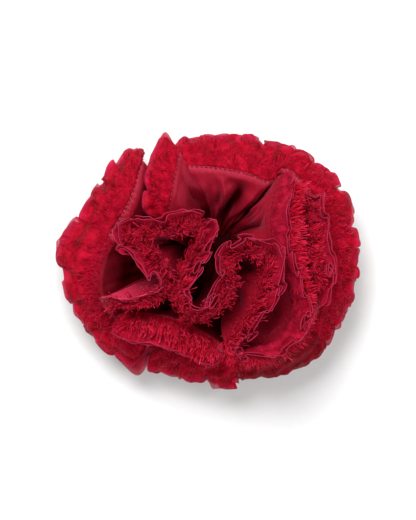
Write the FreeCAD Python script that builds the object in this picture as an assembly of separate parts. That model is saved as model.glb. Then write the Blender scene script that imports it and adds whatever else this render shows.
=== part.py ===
import FreeCAD, Part

# A ruffled fabric flower sewn to a sprung hair clip, lying on its back with the clip underneath.
# Millimetres. +Z is up, out of the flower's face; +X runs along the clip towards its finger tail;
# the origin is on the surface it lies on, below the middle of the flower.
#
# Every petal is a strip of satin that rises from the petal base to a stitched seam. Beyond the seam
# stand an organza frill, on the left hand of someone walking along the seam in the order of its
# points, and a frayed fringe on the right hand.
import math
import os

from FreeCAD import Vector

# ---- driving dimensions -------------------------------------------------------------------------
FLOWER_WIDTH = 140.0
FLOWER_RISE = 42.0  # petal base to the highest frill
PLAN_WIDTH = 140.0  # the width that the petal plan is drawn at
PLAN_RISE = 42.0  # the rise that the petal plan is drawn at

BASE_CENTRE = Vector(4.0, 8.0, 0.0)  # where all the petals are gathered
BASE_RADIUS = 20.0
BASE_THICKNESS = 1.8
COVER_THICKNESS = 1.2
CLIP_HEIGHT = 12.0  # surface to the top of the clip's fixed jaw

GATHER = 0.27  # how far the petal feet are drawn in towards the base centre
SATIN = 0.5
SATIN_MARGIN = 3.5  # satin carried on past the seam, between frill and fringe
FRILL = 1.2
FRINGE = 1.0
FRINGE_LENGTH = 0.62  # share of the frill's width that the fringe covers
THREAD = 0.4
PLY_GAP = 0.1
FOOT_GAP = 0.02  # petal feet above the base
SEAM_TO_FRILL = 1.5
PETAL_GAP = 0.35  # left between petals that follow each other
STATIONS = 10

UNDER_PETALS = 5
UNDER_REACH = (58.0, 46.0)  # half length and half width of the ring of under petals
UNDER_THICKNESS = 0.6
UNDER_CROWN = 1.6  # how far the under petals rise above the base before they droop
UNDER_CREST = 0.3  # where they are highest, from foot to free edge
UNDER_SHOULDER = (0.66, 0.72)  # a place from foot to free edge, and its height per unit of the base's
UNDER_SPAN = math.radians(62)
UNDER_TURN = math.radians(20)

WHIP_STITCHES = 28
WHIP_WIRE = 0.5
WHIP_REACH = 1.6
WHIP_DROP = 1.2  # top of the stitches below the top of the base

JAW_WIDTH = 9.0
JAW_SHEET = 0.8
JAW_FRONT = 40.0  # hinge axis to tip
JAW_TAIL = 18.0  # hinge axis to finger end
HINGE_AHEAD = 11.0  # hinge axis from the base centre, along +X
JAW_GAP = 1.6
TIP_RADIUS = 4.0
TAIL_CLEARANCE = 0.5  # moving jaw's finger end above the surface
PIN_RADIUS = 0.75
PIN_CLEARANCE = 0.05
PIN_HEAD_OVERHANG = 0.55
PIN_HEAD = 0.5
PIN_HEAD_ROUND = 0.6  # radius of its rim, per unit of its thickness
EAR_WALL = 1.4  # metal round the pin hole
EAR_SHEET = 0.7
EAR_CLEARANCE = 0.1
HINGE_HEADROOM = 0.8  # fixed jaw's underside to the moving ears
SPRING_WIRE = 0.7
COIL_BORE_CLEARANCE = 0.7
COIL_SIDE_CLEARANCE = 0.8
COIL_TURN_GAP = 0.1
COIL_CLEARANCE = 0.25  # coil to the cradle below it
SPRING_LEG = 5.4
COIL_STEPS = 12  # points of the wire's line in each turn
LEG_STEPS = 5  # and in each leg
RAMP_RUN = 0.6  # run of the ramp down to the cradle, per unit of drop
RAMP_CLEARANCE = 0.6
TOOTH_PITCH = 3.0
TOOTH_WIDTH = 0.7
TOOTH_CLEARANCE = 0.25
PAD_SIDE_CLEARANCE = 1.3
PAD_TOP_CLEARANCE = 0.2
PAD_SETBACK = 3.5
PAD_BACK_CLEARANCE = 1.4
TIE_WIRE = 0.5
TIE_STATIONS = (-13.0, -2.0, 17.8)  # thread loops that hold the clip, from the base centre

# ---- values that follow from them ---------------------------------------------------------------
PLAN = FLOWER_WIDTH / PLAN_WIDTH
RISE = FLOWER_RISE / PLAN_RISE
COVER_BOTTOM = CLIP_HEIGHT
COVER_TOP = COVER_BOTTOM + COVER_THICKNESS
BASE_TOP = COVER_TOP + BASE_THICKNESS
FOOT_LIFT = SATIN / 2 + FOOT_GAP
JAW_UNDERSIDE = CLIP_HEIGHT - JAW_SHEET
LOWER_TOP = JAW_UNDERSIDE - JAW_GAP
HALF_JAW = JAW_WIDTH / 2
EAR_RADIUS = PIN_RADIUS + PIN_CLEARANCE + EAR_WALL
COIL_RADIUS = PIN_RADIUS + COIL_BORE_CLEARANCE + SPRING_WIRE / 2
COIL_OUTER = COIL_RADIUS + SPRING_WIRE / 2
HINGE_DROP = max(COIL_OUTER, EAR_RADIUS) + HINGE_HEADROOM
HINGE = Vector(BASE_CENTRE.x + HINGE_AHEAD, BASE_CENTRE.y, JAW_UNDERSIDE - HINGE_DROP)
CRADLE_TOP = HINGE.z - max(COIL_OUTER, EAR_RADIUS) - COIL_CLEARANCE
TIP_X = HINGE.x - JAW_FRONT
TAIL_X = HINGE.x + JAW_TAIL
CRADLE_START = HINGE.x - EAR_RADIUS - RAMP_CLEARANCE
FLAT_END = CRADLE_START - (LOWER_TOP - CRADLE_TOP) * RAMP_RUN
TAIL_SLOPE = math.atan((CRADLE_TOP - JAW_SHEET - TAIL_CLEARANCE) / JAW_TAIL)
INNER_EAR_FACE = HALF_JAW - EAR_SHEET - EAR_CLEARANCE
COIL_ROOM = 2 * (INNER_EAR_FACE - EAR_SHEET - COIL_SIDE_CLEARANCE)
COIL_PITCH = SPRING_WIRE + COIL_TURN_GAP
COIL_TURNS = math.floor((COIL_ROOM - SPRING_WIRE) / COIL_PITCH - 0.5) + 0.5
PAD_WIDTH = JAW_WIDTH - 2 * (TOOTH_WIDTH + PAD_SIDE_CLEARANCE)
PAD_THICKNESS = JAW_GAP - TIE_WIRE - PLY_GAP - PAD_TOP_CLEARANCE
UP = Vector(0, 0, 1)

# ---- the petals: name, seam points, free-edge points, each (x, y, rise above the base) -----------
# The ring is laid anticlockwise from the top, so that its organza faces inwards and shows. The heart
# winds through the middle: pocket, bend, arch, second pocket, then back along the right side.
PETALS = [
    ("ring_top", [(30, 36, 18), (18, 39, 19), (4, 41.5, 19.5), (-9, 42.5, 19)],
     [(33, 53, 9), (18, 57.5, 10), (3, 57.5, 11), (-12, 56, 12)]),
    ("ring_fold", [(-13, 46, 22), (-14.5, 38, 24), (-16, 29, 24), (-18, 21, 22)],
     [(-20, 57, 16), (-27, 47, 18), (-29, 36, 19), (-30, 26, 18)]),
    ("ring_upper_left", [(-31.5, 41, 17), (-34, 31, 17.5), (-38.5, 21, 17.5), (-44.5, 11.5, 17)],
     [(-32, 52.5, 8), (-42, 46, 8), (-50.5, 36, 8.5), (-58.5, 23, 8.5)]),
    ("ring_left", [(-46, 8.5, 17.5), (-50, 0, 18), (-52, -9, 18), (-51.5, -17, 18)],
     [(-62, 17.5, 8), (-69.5, 9, 8.5), (-67.5, -5, 9), (-63.5, -17.5, 9)]),
    ("ring_lower_left", [(-50.5, -20, 17), (-45, -27.5, 15), (-38, -33.5, 13), (-30, -37.5, 11)],
     [(-62, -21.5, 8), (-56, -32, 6), (-47, -42, 4), (-36, -49, 2)]),
    ("ring_bottom", [(-23.5, -39, 11), (-12, -42, 12), (0, -43.5, 12), (11, -44, 12)],
     [(-26, -51, 2), (-11, -55, 2), (2, -57.5, 2.5), (14, -57.5, 3)]),
    ("ring_lower_right", [(14.5, -44, 12), (26, -43.5, 13), (37, -40, 14), (45, -34, 14.5)],
     [(17.5, -54.5, 2), (32, -53, 2.5), (44, -48.5, 3), (53.5, -40, 4)]),
    ("ring_right", [(47, -30.5, 15.5), (51.5, -21, 16), (54.5, -10, 16.5), (56, 0, 17)],
     [(55.5, -36, 5), (63, -26, 6), (67.5, -12, 7), (69.5, 2, 8)]),
    ("ring_upper_right", [(55.5, 4, 17.5), (53, 19, 18), (45, 33, 18), (33.5, 41, 18)],
     [(69.5, 6, 8.5), (66, 24, 8.5), (55, 42, 8.5), (38, 51.5, 8.5)]),
    ("pocket_rim", [(-45.5, -18.5, 21), (-39.5, -20.5, 22), (-31, -19, 23), (-22, -14.5, 24)],
     [(-48, -15.5, 34), (-41, -16.5, 35), (-31, -15.5, 36), (-22.5, -11, 37)]),
    ("pocket_side", [(-18.5, -9.5, 24), (-19, -3, 25), (-22, 2, 25), (-26.5, 5, 25)],
     [(-22.5, -10.5, 38), (-28, -5, 39), (-33, 0, 39), (-37.5, 4, 39)]),
    ("pocket_tip", [(-28.3, 4.6, 25), (-32.5, 5.6, 25), (-33, 10, 25), (-28.3, 11.3, 25)],
     [(-39.5, 4.5, 38), (-42.5, 8.5, 37), (-41, 14.5, 37), (-35, 18.5, 38)]),
    ("heart_band", [(-26.5, 11, 25), (-19, 11.5, 26), (-12, 13, 26), (-6.5, 14.5, 26)],
     [(-32, 18.5, 39), (-22, 18.5, 40), (-12, 21.5, 40), (-4, 22, 40)]),
    ("heart_side", [(-5, 13, 26), (-6.5, 5, 26), (-11, -4, 26), (-14.5, -13, 26)],
     [(0, 19, 40), (4, 11, 40), (-1, 2, 40), (-6, -8, 39)]),
    ("heart_bend", [(-15.5, -17, 26), (-13, -25, 26), (-5, -29, 26), (4, -24, 26), (10, -15, 26.5)],
     [(-8, -13, 39), (-8.5, -18, 39), (-4.5, -21, 39), (0.5, -18, 39.5), (5, -12.5, 40)]),
    ("arch_left", [(12, -11, 27), (11.5, -3, 27), (15, 1.2, 27), (19.5, 2.4, 27)],
     [(6, -9, 41), (4, 0, 41.5), (9, 7, 42), (18.5, 10, 42)]),
    ("arch_right", [(21, 2.3, 27), (25, 0, 27), (25.5, -6, 27), (23, -12, 27)],
     [(20.5, 10, 42), (30, 7.5, 42), (35.5, -1, 41.5), (33.5, -12, 41)]),
    ("arch_leg", [(21.5, -15, 26.5), (17.5, -22, 26), (12.5, -29.5, 25), (7, -37, 24)],
     [(32, -15, 40.5), (27.5, -23.5, 40), (21, -32, 38), (13.5, -41, 36)]),
    ("right_pocket", [(13, -37.5, 21), (21, -38, 22), (29, -36, 23), (35, -30.5, 23)],
     [(14.5, -43.5, 32), (24, -44.5, 34), (34, -42, 35), (42, -35.5, 35)]),
    ("right_pocket_side", [(36.5, -27.5, 23), (37.5, -19, 23), (35, -9.5, 24), (32, -1, 25)],
     [(44.5, -32, 34.5), (46, -20.5, 34), (43, -10, 34), (41, -1, 34)]),
    ("right_crest", [(31, 2.5, 25), (28.5, 13, 26), (28.5, 24, 26), (32, 36, 25)],
     [(41, 2, 34), (40.5, 13, 35), (41, 25, 35), (44, 38, 33)]),
    ("right_fringe", [(44.5, 27, 20), (43.5, 14, 20), (45, 1, 20), (47, -13, 20)],
     [(52, 31, 31), (55, 16, 31.5), (57, 0, 31.5), (57, -15, 31)]),
    ("front", [(3, -39.5, 21), (-8, -33, 22), (-20, -28.5, 22), (-31, -26.5, 21), (-39, -25.5, 20)],
     [(0.5, -48.5, 24), (-11, -43.5, 27), (-22, -39.5, 28), (-34, -37.5, 27), (-44, -35, 25)]),
]
RING_FRINGES = "ring_fringes"
HEART_FRINGES = "heart_fringes"


# ---- sheets of fabric ---------------------------------------------------------------------------
def placed(point):
    """A petal plan point in the part's frame."""
    x, y, rise = point
    return Vector(x * PLAN, y * PLAN, BASE_TOP + rise * RISE)


def curve_through(points):
    curve = Part.BSplineCurve()
    curve.interpolate([placed(p) for p in points])
    curve.scaleKnotsToBounds(0, 1)
    return curve


def foot_below(seam_point):
    """Where the wall under a seam point meets the petal base."""
    out = Vector(seam_point.x, seam_point.y, 0) - BASE_CENTRE
    foot = BASE_CENTRE + out * GATHER
    return Vector(foot.x, foot.y, BASE_TOP + FOOT_LIFT)


def left_of(direction, along):
    """The left-hand normal of a sheet that rises in direction while its path runs along."""
    return direction.cross(along).normalize()


def stations(seam, edge):
    """(foot, seam, edge, path direction) at even steps, clear of the petals before and after."""
    trim = PETAL_GAP / 2 / seam.length()
    for i in range(STATIONS):
        t = trim + (1 - 2 * trim) * i / (STATIONS - 1)
        s = seam.value(t)
        along = seam.tangent(t)[0]
        yield foot_below(s), s, edge.value(t), along


def sheet(sections):
    """A closed solid through sections given as (left line, right line), whose ends may be twisted."""
    wires = [Part.makePolygon([*left, *reversed(right), left[0]]) for left, right in sections]
    faces = Part.makeLoft(wires, False, False).Faces
    for left, right in (sections[0], sections[-1]):
        for i in range(len(left) - 1):
            sides = [Part.LineSegment(line[i], line[i + 1]).toShape() for line in (left, right)]
            faces.append(Part.makeRuledSurface(*sides))
    shell = Part.makeShell(faces)
    shell.sewShape()
    solid = Part.Solid(shell)
    if solid.Volume < 0:
        solid.reverse()
    return solid


def satin_section(foot, seam, edge, along):
    wall = (seam - foot).normalize()
    band = (edge - seam).normalize()
    wall_left, band_left = left_of(wall, along), left_of(band, along)
    mid = (wall_left + band_left).normalize()
    mitre = SATIN / 2 / mid.dot(wall_left)
    end = seam + band * SATIN_MARGIN
    half = SATIN / 2
    return ([foot + wall_left * half, seam + mid * mitre, end + band_left * half],
            [foot - wall_left * half, seam - mid * mitre, end - band_left * half])


def ply_section(seam, edge, along, start, end, near, far):
    """A layer beside the satin margin from start to end, near and far its distances to the left."""
    band = (edge - seam).normalize()
    left = left_of(band, along)
    line = [seam + band * start, seam + band * end]
    return [p + left * far for p in line], [p + left * near for p in line]


def petal_solids(seam_points, edge_points):
    """Satin wall, organza frill, fringe and seam thread of one petal."""
    seam, edge = curve_through(seam_points), curve_through(edge_points)
    rows = list(stations(seam, edge))
    near = SATIN / 2 + PLY_GAP
    thread_end = SEAM_TO_FRILL - PLY_GAP
    frill, fringe, thread = [], [], []
    for _, s, e, along in rows:
        width = (e - s).Length
        frill.append(ply_section(s, e, along, SEAM_TO_FRILL, width, near, near + FRILL))
        fringe.append(ply_section(s, e, along, SEAM_TO_FRILL, width * FRINGE_LENGTH,
                                  -near - FRINGE, -near))
        thread.append(ply_section(s, e, along, thread_end - THREAD, thread_end, near, near + THREAD))
    satin = [satin_section(*row) for row in rows]
    return [sheet(sections) for sections in (satin, frill, fringe, thread)]


def under_petal(middle):
    """One of the broad plain petals sewn to the base's rim, which droop to the surface."""
    sections = []
    for i in range(STATIONS):
        a = middle + UNDER_SPAN * (i / (STATIONS - 1) - 0.5)
        out = Vector(math.cos(a), math.sin(a), 0)
        reach = Vector(UNDER_REACH[0] * PLAN * out.x, UNDER_REACH[1] * PLAN * out.y, 0)
        foot = BASE_CENTRE + out * (BASE_RADIUS + PLY_GAP)
        span = reach - foot
        top = [foot + UP * (BASE_TOP - PLY_GAP), foot + span * UNDER_CREST + UP * (BASE_TOP + UNDER_CROWN),
               foot + span * UNDER_SHOULDER[0] + UP * BASE_TOP * UNDER_SHOULDER[1],
               reach + UP * UNDER_THICKNESS]
        sections.append((top, [p - UP * UNDER_THICKNESS for p in top]))
    return sheet(sections)


# ---- base and clip ------------------------------------------------------------------------------
def disc(bottom, thickness):
    return Part.makeCylinder(BASE_RADIUS, thickness, BASE_CENTRE + UP * bottom)


def bent_wire(points, radius, bend):
    """A round wire along straight runs with rounded corners."""
    edges, last = [], points[0]
    for before, corner, after in zip(points, points[1:], points[2:]):
        a = corner + (before - corner).normalize() * bend
        c = corner + (after - corner).normalize() * bend
        middle = corner + ((a - corner) + (c - corner)) * (1 - math.sqrt(0.5))
        edges += [Part.LineSegment(last, a).toShape(), Part.Arc(a, middle, c).toShape()]
        last = c
    edges.append(Part.LineSegment(last, points[-1]).toShape())
    start = (points[1] - points[0]).normalize()
    ring = Part.Wire(Part.makeCircle(radius, points[0], start))
    return Part.Wire(edges).makePipeShell([ring], True, True)


def whip_stitches():
    """Thread stitches round the rim that hold the felt cover to the petal base."""
    made = []
    radius = WHIP_WIRE / 2
    keep_clear = HALF_JAW + WHIP_WIRE
    for i in range(WHIP_STITCHES):
        a = 2 * math.pi * (i + 0.5) / WHIP_STITCHES
        out = Vector(math.cos(a), math.sin(a), 0)
        if abs(out.y) * BASE_RADIUS < keep_clear:
            continue
        inner = BASE_CENTRE + out * (BASE_RADIUS - WHIP_REACH) + UP * (COVER_BOTTOM - radius - PLY_GAP)
        outer = inner + out * (WHIP_REACH + radius + PLY_GAP)
        top = Vector(outer.x, outer.y, BASE_TOP - WHIP_DROP)
        made.append(bent_wire([inner, outer, top], radius, WHIP_WIRE))
    return Part.Compound(made)


def clip_ties():
    """Thread loops that pass under the fixed jaw and up into the felt."""
    made = []
    radius = TIE_WIRE / 2
    side = HALF_JAW + radius + PLY_GAP
    low = JAW_UNDERSIDE - radius - PLY_GAP
    for along in TIE_STATIONS:
        x = BASE_CENTRE.x + along
        corners = [Vector(x, BASE_CENTRE.y + sign * side, z)
                   for sign, z in ((-1, COVER_BOTTOM), (-1, low), (1, low), (1, COVER_BOTTOM))]
        made.append(bent_wire(corners, radius, TIE_WIRE))
    return Part.Compound(made)


def across(profile, low, high):
    """A plate from its side profile in XZ, from low to high in Y about the clip's midline."""
    points = [Vector(x, BASE_CENTRE.y + low, z) for x, z in profile]
    return Part.Face(Part.makePolygon([*points, points[0]])).extrude(Vector(0, high - low, 0))


def jaw_outline():
    """What the two jaws may fill, seen from above: a strip with rounded corners."""
    strip = Part.makeBox(TAIL_X - TIP_X, JAW_WIDTH, 2 * CLIP_HEIGHT,
                         Vector(TIP_X, BASE_CENTRE.y - HALF_JAW, -CLIP_HEIGHT / 2))
    corners = [e for e in strip.Edges
               if abs(e.Vertexes[0].Z - e.Vertexes[1].Z) > CLIP_HEIGHT]
    return strip.makeFillet(min(TIP_RADIUS, HALF_JAW - PLY_GAP), corners)


def pin_hole(low, high):
    return Part.makeCylinder(PIN_RADIUS + PIN_CLEARANCE, high - low,
                             Vector(HINGE.x, BASE_CENTRE.y + low, HINGE.z), Vector(0, 1, 0))


def ear(low, high, root):
    """A rounded lug about the hinge axis that grows from its plate at height root."""
    round_end = Part.makeCylinder(EAR_RADIUS, high - low,
                                  Vector(HINGE.x, BASE_CENTRE.y + low, HINGE.z), Vector(0, 1, 0))
    web = Part.makeBox(2 * EAR_RADIUS, high - low, abs(root - HINGE.z),
                       Vector(HINGE.x - EAR_RADIUS, BASE_CENTRE.y + low, min(root, HINGE.z)))
    return round_end.fuse(web)


def upper_jaw():
    plate = across([(TIP_X, JAW_UNDERSIDE), (TAIL_X, JAW_UNDERSIDE),
                    (TAIL_X, CLIP_HEIGHT), (TIP_X, CLIP_HEIGHT)], -HALF_JAW, HALF_JAW)
    body = plate.common(jaw_outline())
    for low in (-HALF_JAW, HALF_JAW - EAR_SHEET):
        body = body.fuse(ear(low, low + EAR_SHEET, JAW_UNDERSIDE + JAW_SHEET / 2))
    return body.cut(pin_hole(-JAW_WIDTH, JAW_WIDTH)).removeSplitter()


def lower_jaw_top():
    """The upper line of the lower jaw from tip to tail, which dips into a cradle for the coil."""
    return [(TIP_X, LOWER_TOP), (FLAT_END, LOWER_TOP), (CRADLE_START, CRADLE_TOP),
            (HINGE.x, CRADLE_TOP), (TAIL_X, CRADLE_TOP - math.tan(TAIL_SLOPE) * JAW_TAIL)]


def teeth():
    """Two rows of gripping teeth along the lower jaw's edges, left out where a thread loop crosses."""
    root = LOWER_TOP - JAW_SHEET / 2
    first = TIP_X + TIP_RADIUS
    clear = TOOTH_PITCH / 2 + TIE_WIRE
    made = []
    for i in range(int((FLAT_END - first) / TOOTH_PITCH)):
        x = first + TOOTH_PITCH * i
        middle = x + TOOTH_PITCH / 2
        if any(abs(BASE_CENTRE.x + tie - middle) < clear for tie in TIE_STATIONS):
            continue
        side = [(x, root), (x + TOOTH_PITCH, root), (x + TOOTH_PITCH, LOWER_TOP),
                (middle, JAW_UNDERSIDE - TOOTH_CLEARANCE), (x, LOWER_TOP)]
        for low in (-HALF_JAW, HALF_JAW - TOOTH_WIDTH):
            made.append(across(side, low, low + TOOTH_WIDTH))
    return made


def lower_jaw():
    top = lower_jaw_top()
    profile = top + [(x, z - JAW_SHEET) for x, z in reversed(top)]
    body = across(profile, -HALF_JAW, HALF_JAW)
    for tooth in teeth():
        body = body.fuse(tooth)
    body = body.common(jaw_outline())
    for low in (-INNER_EAR_FACE, INNER_EAR_FACE - EAR_SHEET):
        body = body.fuse(ear(low, low + EAR_SHEET, CRADLE_TOP - JAW_SHEET / 2))
    return body.cut(pin_hole(-JAW_WIDTH, JAW_WIDTH)).removeSplitter()


def hinge_pin():
    """A rivet: a shank through all four ears with a head outside each of the fixed jaw's ears."""
    reach = HALF_JAW + PIN_CLEARANCE
    start = Vector(HINGE.x, BASE_CENTRE.y - reach - PIN_HEAD, HINGE.z)
    along = Vector(0, 1, 0)
    pin = Part.makeCylinder(PIN_RADIUS, 2 * (reach + PIN_HEAD), start, along)
    for offset in (0, 2 * reach + PIN_HEAD):
        head = Part.makeCylinder(PIN_RADIUS + PIN_HEAD_OVERHANG, PIN_HEAD, start + along * offset, along)
        pin = pin.fuse(head)
    pin = pin.removeSplitter()
    rims = [e for e in pin.Edges if e.BoundBox.XLength > 2 * PIN_RADIUS + PIN_HEAD_OVERHANG
            and abs(abs(e.BoundBox.Center.y - HINGE.y) - reach - PIN_HEAD) < PIN_CLEARANCE]
    return pin.makeFillet(PIN_HEAD * PIN_HEAD_ROUND, rims)


def torsion_spring():
    """One wire: a leg under the fixed jaw, a coil round the hinge pin, a leg on the moving tail."""
    half = COIL_TURNS * COIL_PITCH / 2
    steps = math.ceil(COIL_TURNS * COIL_STEPS)
    coil = []
    for i in range(steps + 1):
        turn = 2 * math.pi * COIL_TURNS * i / steps
        coil.append(HINGE + Vector(-COIL_RADIUS * math.sin(turn), half - 2 * half * i / steps,
                                   COIL_RADIUS * math.cos(turn)))
    drop = math.tan(TAIL_SLOPE) * SPRING_LEG
    rest = SPRING_WIRE / 2 / math.cos(TAIL_SLOPE) + PLY_GAP
    upper_end = Vector(HINGE.x + SPRING_LEG, coil[0].y, JAW_UNDERSIDE - SPRING_WIRE / 2 - PLY_GAP)
    lower_end = Vector(HINGE.x + SPRING_LEG, coil[-1].y, CRADLE_TOP - drop + rest)
    upper_leg = [upper_end + (coil[0] - upper_end) * i / LEG_STEPS for i in range(LEG_STEPS)]
    lower_leg = [lower_end + (coil[-1] - lower_end) * i / LEG_STEPS for i in range(LEG_STEPS)]
    line = Part.BSplineCurve()
    line.interpolate(upper_leg + coil + lower_leg[::-1])
    ring = Part.Wire(Part.makeCircle(SPRING_WIRE / 2, upper_end, line.tangent(line.FirstParameter)[0]))
    return Part.Wire(line.toShape()).makePipeShell([ring], True, False)


def grip_pad():
    """A soft strip on the lower jaw that keeps the clip from sliding in the hair."""
    start = TIP_X + PAD_SETBACK
    length = FLAT_END - PAD_BACK_CLEARANCE - start
    return Part.makeBox(length, PAD_WIDTH, PAD_THICKNESS,
                        Vector(start, BASE_CENTRE.y - PAD_WIDTH / 2, LOWER_TOP))


# ---- build --------------------------------------------------------------------------------------
def build():
    parts = {"petal_base": disc(COVER_TOP, BASE_THICKNESS),
             "felt_cover": disc(COVER_BOTTOM, COVER_THICKNESS),
             "rim_stitches": whip_stitches(), "clip_ties": clip_ties(),
             "upper_jaw": upper_jaw(), "lower_jaw": lower_jaw(), "hinge_pin": hinge_pin(),
             "torsion_spring": torsion_spring(), "grip_pad": grip_pad()}
    fringes = {RING_FRINGES: [], HEART_FRINGES: []}
    threads = []
    for name, seam, edge in PETALS:
        satin, frill, fringe, thread = petal_solids(seam, edge)
        parts["satin_" + name] = satin
        parts["frill_" + name] = frill
        fringes[RING_FRINGES if name.startswith("ring") else HEART_FRINGES].append(fringe)
        threads.append(thread)
    for name, solids in fringes.items():
        parts[name] = Part.Compound(solids)
    parts["seam_threads"] = Part.Compound(threads)
    parts["under_petals"] = Part.Compound(
        [under_petal(UNDER_TURN + 2 * math.pi * i / UNDER_PETALS) for i in range(UNDER_PETALS)])
    return parts


def main():
    os.makedirs("parts", exist_ok=True)
    parts = build()
    whole = FreeCAD.BoundBox()
    for name, shape in parts.items():
        shape.exportStep(f"parts/{name}.step")
        whole.add(shape.BoundBox)
        if not shape.isValid() or not shape.Solids or any(s.Volume <= 0 for s in shape.Solids):
            print("check the shape of", name)
    print(f"{len(parts)} nodes; hinge at {tuple(round(v, 3) for v in HINGE)}; "
          f"x {whole.XMin:.2f} to {whole.XMax:.2f}, y {whole.YMin:.2f} to {whole.YMax:.2f}, "
          f"z {whole.ZMin:.2f} to {whole.ZMax:.2f}")


main()
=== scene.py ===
import math

import bpy
import numpy as np
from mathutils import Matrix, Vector


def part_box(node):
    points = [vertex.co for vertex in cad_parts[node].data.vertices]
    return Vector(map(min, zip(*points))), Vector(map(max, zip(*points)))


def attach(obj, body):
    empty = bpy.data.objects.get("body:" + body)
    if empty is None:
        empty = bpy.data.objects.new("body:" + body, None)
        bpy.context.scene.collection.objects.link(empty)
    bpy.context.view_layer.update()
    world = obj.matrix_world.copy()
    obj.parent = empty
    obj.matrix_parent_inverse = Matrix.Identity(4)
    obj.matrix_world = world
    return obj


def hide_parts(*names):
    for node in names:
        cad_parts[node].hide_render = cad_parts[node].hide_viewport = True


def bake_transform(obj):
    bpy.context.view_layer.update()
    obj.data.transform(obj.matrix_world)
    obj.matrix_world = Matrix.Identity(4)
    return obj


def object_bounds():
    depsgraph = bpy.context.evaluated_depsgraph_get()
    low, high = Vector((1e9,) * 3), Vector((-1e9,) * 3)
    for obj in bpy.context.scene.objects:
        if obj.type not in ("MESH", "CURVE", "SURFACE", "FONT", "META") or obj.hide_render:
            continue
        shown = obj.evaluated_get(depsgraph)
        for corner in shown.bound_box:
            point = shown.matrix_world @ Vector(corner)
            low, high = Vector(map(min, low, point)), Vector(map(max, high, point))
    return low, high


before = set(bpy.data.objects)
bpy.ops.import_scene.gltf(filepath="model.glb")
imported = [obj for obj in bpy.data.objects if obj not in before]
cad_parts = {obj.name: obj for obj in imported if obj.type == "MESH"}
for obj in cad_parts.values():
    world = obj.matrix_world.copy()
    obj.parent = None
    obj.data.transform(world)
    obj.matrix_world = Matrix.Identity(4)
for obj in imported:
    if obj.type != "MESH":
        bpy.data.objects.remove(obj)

MM = 0.001
RECORD_BOX = [list(corner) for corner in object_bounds()]

# ---- where things are, from the frame ----
# The petal plan is drawn in millimetres at this width and rise, and scaled to the frame's own.
PLAN_WIDTH, PLAN_RISE = 140.9, 42.0
BASE_LOW, BASE_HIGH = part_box("petal_base")
BASE = np.array([(BASE_LOW.x + BASE_HIGH.x) / 2, (BASE_LOW.y + BASE_HIGH.y) / 2, BASE_HIGH.z]) / MM
BASE_RADIUS = (BASE_HIGH.x - BASE_LOW.x) / 2 / MM
PLAN = (RECORD_BOX[1][0] - RECORD_BOX[0][0]) / MM / PLAN_WIDTH
RISE = (RECORD_BOX[1][2] / MM - BASE[2]) / PLAN_RISE

# ---- cloth sizes, in millimetres ----
GATHER = 0.26  # distance of a petal's foot from the base centre, per unit of its seam's distance
SATIN = 0.32
ORGANZA = 0.1
HEM_RADIUS = 0.12
SEAM_TO_FRILL = 1.4
SATIN_MARGIN = 3.5
STITCH_PITCH = 2.1
STITCH_RADIUS = 0.14
HEM_SIDES = 5
# Cloth past a free end's drawn point, and past the first drawn point of petals that reach further or less.
PLAIN_END_REACH = 3.0
END_REACH = {"front": 5.0, "ring_upper_left": 5.5, "ring_fold": 4.0, "ring_bottom": 1.2}
UNDER_REACH = (58.0, 46.0)
UNDER_PETALS = 5
UNDER_SPAN = math.radians(80)
UNDER_TURN = math.radians(20)
UNDER_COLUMNS, UNDER_ROWS, UNDER_STEP = 110, 40, 0.55
UNDER_THICKNESS = 0.4
UNDER_TILT = 0.9  # how far one side of an under petal lies above the middle, and the other below it

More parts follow.
